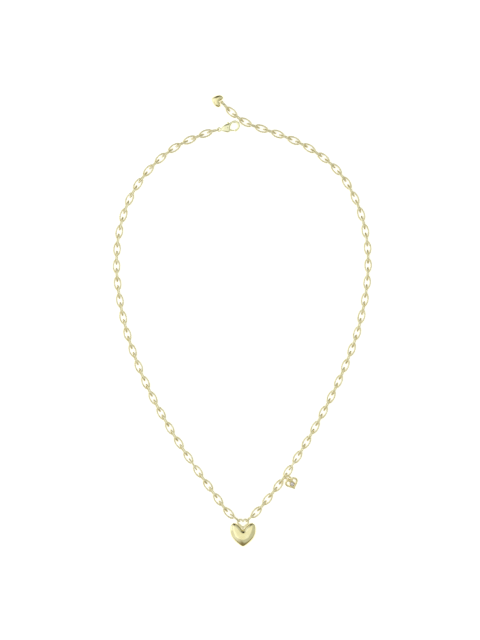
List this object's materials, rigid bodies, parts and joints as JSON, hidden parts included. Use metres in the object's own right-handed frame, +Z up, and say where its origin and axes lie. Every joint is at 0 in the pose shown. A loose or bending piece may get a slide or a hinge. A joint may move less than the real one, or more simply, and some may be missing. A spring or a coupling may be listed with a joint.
{
  "type": "pendant necklace",
  "caption": "Gold-tone cable-chain necklace, laid flat and open, with a puffed heart pendant, a small crystal heart charm, a lobster clasp and an extension that ends in a small heart.",
  "frame": {"origin": "centre of the necklace's outline on the surface that it lies on", "axes": "+Z up from that surface, +Y from the pendant towards the clasp, +X to the side that carries the small charm"},
  "size_m": [0.1126, 0.1961, 0.0044],
  "materials": {
    "chain_gold": "bright pale yellow gold plating on round wire",
    "heart_gold": "mirror polished pale yellow gold plating",
    "charm_gold": "bright pale yellow gold plating",
    "clasp_gold": "polished gold plating with soft cast edges",
    "clasp_steel": "plain spring steel",
    "crystal": "faceted clear stone"
  },
  "bodies": {
    "bail": {"heart_bail_ring": "chain_gold"},
    "heart": {"heart_front_shell": "heart_gold", "heart_back_shell": "heart_gold", "heart_eyelet": "chain_gold"},
    "left_01": {"chain_left_01": "chain_gold"},
    "left_02": {"chain_left_02": "chain_gold"},
    "left_03": {"chain_left_03": "chain_gold"},
    "left_04": {"chain_left_04": "chain_gold"},
    "left_05": {"chain_left_05": "chain_gold"},
    "left_06": {"chain_left_06": "chain_gold"},
    "left_07": {"chain_left_07": "chain_gold"},
    "left_08": {"chain_left_08": "chain_gold"},
    "left_09": {"chain_left_09": "chain_gold"},
    "left_10": {"chain_left_10": "chain_gold"},
    "left_11": {"chain_left_11": "chain_gold"},
    "left_12": {"chain_left_12": "chain_gold"},
    "left_13": {"chain_left_13": "chain_gold"},
    "left_14": {"chain_left_14": "chain_gold"},
    "left_15": {"chain_left_15": "chain_gold"},
    "left_16": {"chain_left_16": "chain_gold"},
    "left_17": {"chain_left_17": "chain_gold"},
    "left_18": {"chain_left_18": "chain_gold"},
    "left_19": {"chain_left_19": "chain_gold"},
    "right_01": {"chain_right_01": "chain_gold"},
    "right_02": {"chain_right_02": "chain_gold"},
    "right_03": {"chain_right_03": "chain_gold"},
    "right_04": {"chain_right_04": "chain_gold"},
    "right_05": {"chain_right_05": "chain_gold"},
    "right_06": {"chain_right_06": "chain_gold"},
    "right_07": {"chain_right_07": "chain_gold"},
    "right_08": {"chain_right_08": "chain_gold"},
    "right_09": {"chain_right_09": "chain_gold"},
    "right_10": {"chain_right_10": "chain_gold"},
    "right_11": {"chain_right_11": "chain_gold"},
    "right_12": {"chain_right_12": "chain_gold"},
    "right_13": {"chain_right_13": "chain_gold"},
    "right_14": {"chain_right_14": "chain_gold"},
    "right_15": {"chain_right_15": "chain_gold"},
    "right_16": {"chain_right_16": "chain_gold"},
    "right_17": {"chain_right_17": "chain_gold"},
    "right_18": {"chain_right_18": "chain_gold"},
    "right_19": {"chain_right_19": "chain_gold"},
    "right_20": {"chain_right_20": "chain_gold"},
    "right_21": {"chain_right_21": "chain_gold"},
    "clasp": {"clasp_body": "clasp_gold", "clasp_lever_pin": "clasp_steel", "clasp_spring": "clasp_steel"},
    "clasp_lever": {"clasp_lever": "clasp_gold"},
    "charm_ring": {"charm_jump_ring": "chain_gold"},
    "charm": {"charm_frame": "charm_gold", "charm_stone": "crystal"},
    "end_charm": {"end_heart": "heart_gold", "end_heart_loop": "chain_gold"}
  },
  "joints": [
    {"name": "bail_heart_swing", "type": "hinge", "parent": "bail", "child": "heart", "pos_m": [0.0002, -0.09, 0.0017], "axis": [1, 0, 0], "range_deg": [-50, 50]},
    {"name": "clasp_swing", "type": "hinge", "parent": "left_19", "child": "clasp", "pos_m": [-0.01033, 0.08315, 0.0017], "axis": [0, 0, 1], "range_deg": [-60, 0]},
    {"name": "clasp_lever_press", "type": "hinge", "parent": "clasp", "child": "clasp_lever", "pos_m": [-0.00647, 0.08373, 0.0017], "axis": [0, 0, 1], "range_deg": [0, 25], "stiffness_Nm_per_rad": 0.005, "deforming": ["clasp_spring"]},
    {"name": "charm_ring_swing", "type": "hinge", "parent": "right_03", "child": "charm_ring", "pos_m": [0.01765, -0.06841, 0.00307], "axis": [0.5727, 0.8198, 0], "range_deg": [-20, 20]},
    {"name": "charm_swing", "type": "hinge", "parent": "charm_ring", "child": "charm", "pos_m": [0.02074, -0.06883, 0.0019], "axis": [0.5716, 0.1756, 0.8015], "range_deg": [-30, 30]},
    {"name": "end_charm_swing", "type": "hinge", "parent": "right_21", "child": "end_charm", "pos_m": [-0.00893, 0.0949, 0.0017], "axis": [0, 0, 1], "range_deg": [-35, 35]},
    {"name": "left_chain_01_turn", "type": "hinge", "parent": "bail", "child": "left_01", "pos_m": [-0.00121, -0.08697, 0.0017], "axis": [0, 0, 1], "range_deg": [0, 25]},
    {"name": "left_chain_02_lift", "type": "hinge", "parent": "left_01", "child": "left_02", "pos_m": [-0.00438, -0.08493, 0.0017], "axis": [0.7076, 0.7066, 0], "range_deg": [-12, 35]},
    {"name": "left_chain_03_turn", "type": "hinge", "parent": "left_02", "child": "left_03", "pos_m": [-0.01149, -0.07627, 0.0017], "axis": [0, 0, 1], "range_deg": [0, 35]},
    {"name": "left_chain_04_lift", "type": "hinge", "parent": "left_03", "child": "left_04", "pos_m": [-0.01802, -0.06715, 0.0017], "axis": [-0.8186, -0.5744, 0], "range_deg": [-12, 35]},
    {"name": "left_chain_05_turn", "type": "hinge", "parent": "left_04", "child": "left_05", "pos_m": [-0.02437, -0.0579, 0.0017], "axis": [0, 0, -1], "range_deg": [-35, 0]},
    {"name": "left_chain_06_lift", "type": "hinge", "parent": "left_05", "child": "left_06", "pos_m": [-0.03043, -0.04846, 0.0017], "axis": [-0.8586, -0.5127, 0], "range_deg": [-12, 35]},
    {"name": "left_chain_07_turn", "type": "hinge", "parent": "left_06", "child": "left_07", "pos_m": [-0.03608, -0.03877, 0.0017], "axis": [0, 0, 1], "range_deg": [0, 35]},
    {"name": "left_chain_08_lift", "type": "hinge", "parent": "left_07", "child": "left_08", "pos_m": [-0.04118, -0.02877, 0.0017], "axis": [0.9098, 0.4151, 0], "range_deg": [-12, 35]},
    {"name": "left_chain_09_turn", "type": "hinge", "parent": "left_08", "child": "left_09", "pos_m": [-0.04562, -0.01847, 0.0017], "axis": [0, 0, -1], "range_deg": [-35, 0]},
    {"name": "left_chain_10_lift", "type": "hinge", "parent": "left_09", "child": "left_10", "pos_m": [-0.04937, -0.0079, 0.0017], "axis": [0.9617, 0.274, 0], "range_deg": [-12, 35]},
    {"name": "left_chain_11_lift", "type": "hinge", "parent": "left_10", "child": "left_11", "pos_m": [-0.05233, 0.00371, 0.0017], "axis": [-0.982, -0.189, 0], "range_deg": [-12, 35]},
    {"name": "left_chain_12_lift", "type": "hinge", "parent": "left_11", "child": "left_12", "pos_m": [-0.054, 0.01403, 0.0017], "axis": [-0.9947, -0.1028, 0], "range_deg": [-12, 35]},
    {"name": "left_chain_13_lift", "type": "hinge", "parent": "left_12", "child": "left_13", "pos_m": [-0.05473, 0.02599, 0.0017], "axis": [0.9997, -0.0264, 0], "range_deg": [-12, 35]},
    {"name": "left_chain_14_lift", "type": "hinge", "parent": "left_13", "child": "left_14", "pos_m": [-0.05395, 0.03641, 0.0017], "axis": [0.9813, -0.1925, 0], "range_deg": [-12, 35]},
    {"name": "left_chain_15_lift", "type": "hinge", "parent": "left_14", "child": "left_15", "pos_m": [-0.05106, 0.04803, 0.0017], "axis": [-0.9355, 0.3533, 0], "range_deg": [-12, 35]},
    {"name": "left_chain_16_lift", "type": "hinge", "parent": "left_15", "child": "left_16", "pos_m": [-0.04662, 0.05749, 0.0017], "axis": [-0.834, 0.5517, 0], "range_deg": [-12, 35]},
    {"name": "left_chain_17_lift", "type": "hinge", "parent": "left_16", "child": "left_17", "pos_m": [-0.03937, 0.06701, 0.0017], "axis": [0.7061, -0.7081, 0], "range_deg": [-12, 35]},
    {"name": "left_chain_18_lift", "type": "hinge", "parent": "left_17", "child": "left_18", "pos_m": [-0.03149, 0.07388, 0.0017], "axis": [0.5444, -0.8388, 0], "range_deg": [-12, 35]},
    {"name": "left_chain_19_lift", "type": "hinge", "parent": "left_18", "child": "left_19", "pos_m": [-0.02092, 0.07948, 0.0017], "axis": [-0.3669, 0.9303, 0], "range_deg": [-12, 35]},
    {"name": "right_chain_01_turn", "type": "hinge", "parent": "bail", "child": "right_01", "pos_m": [0.00152, -0.087, 0.0017], "axis": [0, 0, 1], "range_deg": [-25, 0]},
    {"name": "right_chain_02_lift", "type": "hinge", "parent": "right_01", "child": "right_02", "pos_m": [0.00443, -0.08464, 0.0017], "axis": [0.7215, -0.6924, 0], "range_deg": [-12, 35]},
    {"name": "right_chain_03_turn", "type": "hinge", "parent": "right_02", "child": "right_03", "pos_m": [0.01181, -0.07619, 0.0017], "axis": [0, 0, 1], "range_deg": [-35, 0]},
    {"name": "right_chain_04_lift", "type": "hinge", "parent": "right_03", "child": "right_04", "pos_m": [0.01851, -0.06719, 0.0017], "axis": [-0.8324, 0.5542, 0], "range_deg": [-12, 35]},
    {"name": "right_chain_05_turn", "type": "hinge", "parent": "right_04", "child": "right_05", "pos_m": [0.02462, -0.05778, 0.0017], "axis": [0, 0, -1], "range_deg": [0, 35]},
    {"name": "right_chain_06_lift", "type": "hinge", "parent": "right_05", "child": "right_06", "pos_m": [0.03036, -0.04814, 0.0017], "axis": [-0.8726, 0.4884, 0], "range_deg": [-12, 35]},
    {"name": "right_chain_07_turn", "type": "hinge", "parent": "right_06", "child": "right_07", "pos_m": [0.03573, -0.03829, 0.0017], "axis": [0, 0, 1], "range_deg": [-35, 0]},
    {"name": "right_chain_08_lift", "type": "hinge", "parent": "right_07", "child": "right_08", "pos_m": [0.04071, -0.02824, 0.0017], "axis": [0.9087, -0.4174, 0], "range_deg": [-12, 35]},
    {"name": "right_chain_09_turn", "type": "hinge", "parent": "right_08", "child": "right_09", "pos_m": [0.04519, -0.01795, 0.0017], "axis": [0, 0, -1], "range_deg": [0, 35]},
    {"name": "right_chain_10_lift", "type": "hinge", "parent": "right_09", "child": "right_10", "pos_m": [0.04905, -0.00742, 0.0017], "axis": [0.9586, -0.2848, 0], "range_deg": [-12, 35]},
    {"name": "right_chain_11_turn", "type": "hinge", "parent": "right_10", "child": "right_11", "pos_m": [0.05196, 0.00342, 0.0017], "axis": [0, 0, 1], "range_deg": [-35, 0]},
    {"name": "right_chain_12_lift", "type": "hinge", "parent": "right_11", "child": "right_12", "pos_m": [0.05383, 0.01448, 0.0017], "axis": [-0.9949, 0.1006, 0], "range_deg": [-12, 35]},
    {"name": "right_chain_13_turn", "type": "hinge", "parent": "right_12", "child": "right_13", "pos_m": [0.05453, 0.02567, 0.0017], "axis": [0, 0, -1], "range_deg": [0, 35]},
    {"name": "right_chain_14_lift", "type": "hinge", "parent": "right_13", "child": "right_14", "pos_m": [0.05373, 0.03686, 0.0017], "axis": [-0.9808, -0.1948, 0], "range_deg": [-12, 35]},
    {"name": "right_chain_15_turn", "type": "hinge", "parent": "right_14", "child": "right_15", "pos_m": [0.05104, 0.04775, 0.0017], "axis": [0, 0, 1], "range_deg": [-35, 0]},
    {"name": "right_chain_16_lift", "type": "hinge", "parent": "right_15", "child": "right_16", "pos_m": [0.04645, 0.05797, 0.0017], "axis": [0.8453, 0.5344, 0], "range_deg": [-12, 35]},
    {"name": "right_chain_17_turn", "type": "hinge", "parent": "right_16", "child": "right_17", "pos_m": [0.03971, 0.06693, 0.0017], "axis": [0, 0, -1], "range_deg": [0, 35]},
    {"name": "right_chain_18_lift", "type": "hinge", "parent": "right_17", "child": "right_18", "pos_m": [0.03089, 0.07383, 0.0017], "axis": [0.5188, 0.8549, 0], "range_deg": [-12, 35]},
    {"name": "right_chain_19_turn", "type": "hinge", "parent": "right_18", "child": "right_19", "pos_m": [0.02092, 0.07895, 0.0017], "axis": [0, 0, 1], "range_deg": [-35, 0]},
    {"name": "right_chain_20_lift", "type": "hinge", "parent": "right_19", "child": "right_20", "pos_m": [0.01037, 0.08277, 0.0017], "axis": [-0.3272, -0.945, 0], "range_deg": [-12, 35]},
    {"name": "right_chain_21_turn", "type": "hinge", "parent": "right_20", "child": "right_21", "pos_m": [-0.00002, 0.08695, 0.0017], "axis": [0, 0, -1], "range_deg": [0, 35]}
  ]
}
